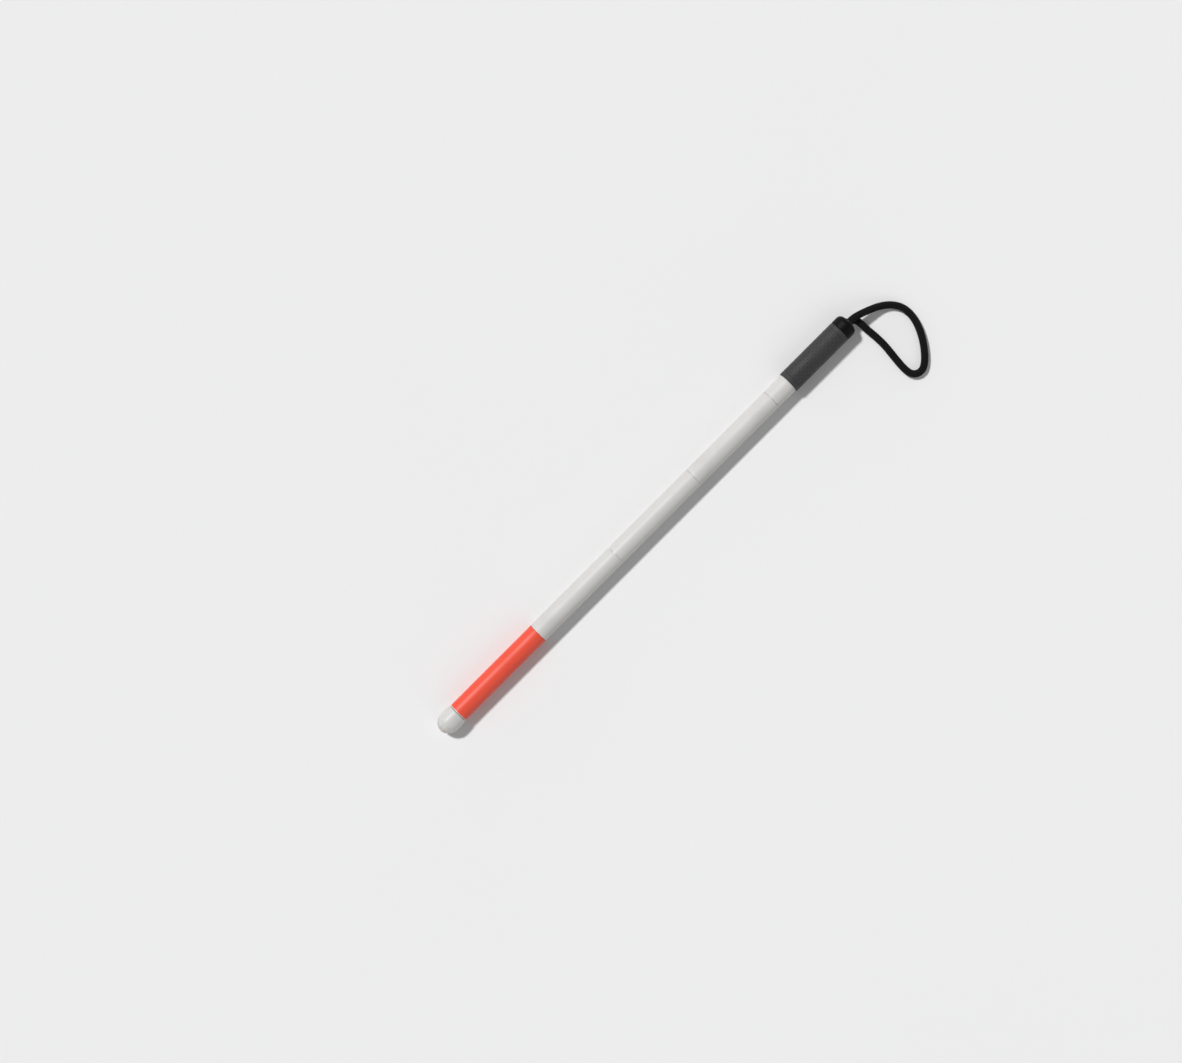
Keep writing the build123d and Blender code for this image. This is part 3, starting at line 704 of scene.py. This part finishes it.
def make_grip(material):
    """The grip's sleeve, flattened below where the CAD sleeve has its flat."""
    low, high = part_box("grip_sleeve")
    profile = rounded_sleeve(low.x, high.x, GRIP_RADIUS, TUBE_RADIUS, GRIP_STEP, GRIP_LOW_ROUND,
                             GRIP_HIGH_ROUND)
    points = turned_points(profile, GRIP_COLUMNS, grip_relief, low.z)
    piece = add_mesh("grip", points, ring_faces(len(profile), GRIP_COLUMNS, True), material,
                     "handle_section", "grip_sleeve")
    marked = np.repeat(np.array(profile)[:, 2], GRIP_COLUMNS)
    around = np.tile(np.arange(GRIP_COLUMNS) / GRIP_COLUMNS * TAU, len(profile))
    tag_points(piece, "raised", 1 - grip_relief(points[:, 0], around) * marked / SLOT_DEPTH)


ELASTIC_COLUMNS = 48
ELASTIC_STEP = 0.4 * MM


def elastic_relief(x, around):
    """The low diamond relief of a fine braid, as depths."""
    one = np.cos(ELASTIC_CARRIERS * (around + TAU * x / ELASTIC_PITCH))
    other = np.cos(ELASTIC_CARRIERS * (around - TAU * x / ELASTIC_PITCH))
    return ELASTIC_RELIEF * (1 + np.minimum(one, other))


def make_elastic(number, material):
    """One span of the elastic cord, which stretches with its joint."""
    low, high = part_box(f"shock_cord_{number}")
    outside = [(x, ELASTIC_RADIUS, 1) for x in np.arange(low.x, high.x, ELASTIC_STEP)]
    profile = [(low.x, 0.0, 0), *outside, (high.x, ELASTIC_RADIUS, 0), (high.x, 0.0, 0)]
    points = turned_points(profile, ELASTIC_COLUMNS, elastic_relief)
    piece = add_mesh(f"elastic_{number}", points, ring_faces(len(profile), ELASTIC_COLUMNS, False), material,
                     None, f"shock_cord_{number}")
    weld(piece)
    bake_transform(piece)


ROLLER_COLUMNS = 160
NOSE_LENGTH = 16 * MM
NOSE_STEPS = 28
BARREL_STEPS = 12
REAR_RADIUS = 13.2 * MM
REAR_ROUND = 1.6 * MM
REAR_STEPS = 8
SCREW_POCKET_RADIUS = 7.4 * MM
SCREW_POCKET_DEPTH = 6 * MM
SHARP_ANGLE = math.radians(50)
WEAR_DEPTH = 0.04 * MM
WEAR_START = 2 * MM
WEAR_END = 13 * MM


def roller_relief(x, around):
    """Shallow wear of the nose, uneven round the tip, as depths."""
    nose = 1 - smoothstep(tip_box[0].x + WEAR_START, tip_box[0].x + WEAR_END, x)
    rough = np.sin(7 * around + 900 * x) * np.sin(11 * around - 1700 * x + 1.3)
    return WEAR_DEPTH * nose * (1 + rough) / 2


def make_roller(material):
    """The tip's shell: a barrel with a domed nose, hollow at the back for its bearing and a screw's head."""
    low, high = tip_box
    cover_low, cover_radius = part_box("tip_rear_cover")[0].x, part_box("tip_rear_cover")[1].y
    bearing_low, bearing_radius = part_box("bearing_outer_ring")[0].x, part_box("bearing_outer_ring")[1].y
    profile = [(low.x, 0.0, 0)]
    for a in np.linspace(0, math.pi / 2, NOSE_STEPS)[1:]:
        profile.append((low.x + NOSE_LENGTH * (1 - math.cos(a)), TIP_RADIUS * math.sin(a), 1))
    barrel_start, barrel_end = low.x + NOSE_LENGTH, high.x - REAR_ROUND
    for x in np.linspace(barrel_start, barrel_end, BARREL_STEPS)[1:]:
        drop = (TIP_RADIUS - REAR_RADIUS) * ((x - barrel_start) / (high.x - barrel_start)) ** 2
        profile.append((x, TIP_RADIUS - drop, 1))
    edge = profile[-1][1]
    for a in np.linspace(0, math.pi / 2, REAR_STEPS)[1:]:
        profile.append((barrel_end + REAR_ROUND * math.sin(a), edge - REAR_ROUND * (1 - math.cos(a)), 0))
    pocket_end = bearing_low - SCREW_POCKET_DEPTH
    for x, radius in ((high.x, cover_radius), (cover_low, cover_radius), (cover_low, bearing_radius),
                      (bearing_low, bearing_radius), (bearing_low, SCREW_POCKET_RADIUS),
                      (pocket_end, SCREW_POCKET_RADIUS), (pocket_end, 0.0)):
        profile.append((x, radius, 0))
    points = turned_points(profile, ROLLER_COLUMNS, roller_relief)
    piece = add_mesh("roller_shell", points, ring_faces(len(profile), ROLLER_COLUMNS, False), material,
                     "roller", "roller_tip")
    weld(piece)
    mark_sharp(piece, SHARP_ANGLE)


# ---- build ---------------------------------------------------------------------------------------
make_camera()
make_lights()

loop_cloth = braid_cloth("loop_braid", (0.002, 0.002, 0.002), (0.009, 0.009, 0.0095), LOOP_FILAMENTS)
wrist_cord, loop_line = make_wrist_cord(loop_cloth)

white_sheeting = sheeting("white_sheeting", colour=(0.565, 0.557, 0.541), line_colour=(0.635, 0.627, 0.611),
                          stain_colour=(0.415, 0.40, 0.375))
red_sheeting = sheeting("red_sheeting", colour=(0.76, 0.071, 0.034), line_colour=(0.82, 0.105, 0.060),
                        stain_colour=(0.48, 0.047, 0.026))
make_sheeting("white_sheet_1", "white_tape_1", "handle_tube", "handle_section",
              white_sheeting)
for number in (2, 3, 4):
    make_sheeting(f"white_sheet_{number}", f"white_tape_{number}", f"section_tube_{number}",
                  f"section_{number}", white_sheeting)
make_sheeting("red_sheet", "red_tape", "section_tube_5", "section_5", red_sheeting)

make_grip(grip_rubber())

elastic_braid = elastic_cloth()
for number in (1, 2, 3, 4):
    make_elastic(number, elastic_braid)

tube_metal = turned_metal("tube_metal", (0.66, 0.67, 0.69), 0.42, 0.01 * MM)
ferrule_metal = turned_metal("ferrule_metal", (0.66, 0.66, 0.67), 0.40, 0.008 * MM)
steel = turned_metal("steel", (0.55, 0.56, 0.57), 0.28, 0.01 * MM)
polished = turned_metal("polished", (0.78, 0.78, 0.79), 0.12, 0.002 * MM)
off_white_nylon = tip_nylon()
make_roller(off_white_nylon)

# the finish of the CAD nodes that stay as they are, by material slot
finishes = {
    "aluminium_tube": tube_metal,
    "ferrule_aluminium": ferrule_metal,
    "rivet_aluminium": ferrule_metal,
    "steel": steel,
    "ball_steel": polished,
    "black_nylon": black_nylon(),
    "cap_rubber": cap_rubber(),
    "loop_braid": loop_cloth,
    "tip_nylon": off_white_nylon,
}
for part in frame["record"]["subparts"]:
    finish = finishes.get(part["material_slot"])
    if finish:
        for slot in frame["nodes"][part["node"]].material_slots:
            slot.material = finish

FLOOR_SIZE = 400
FLOOR_DROP = 0.3 * MM
bpy.ops.mesh.primitive_plane_add(size=FLOOR_SIZE, location=(0, 0, -FLOOR_DROP))
floor = bpy.context.object
floor.name = "floor"
floor.data.materials.append(floor_paint())
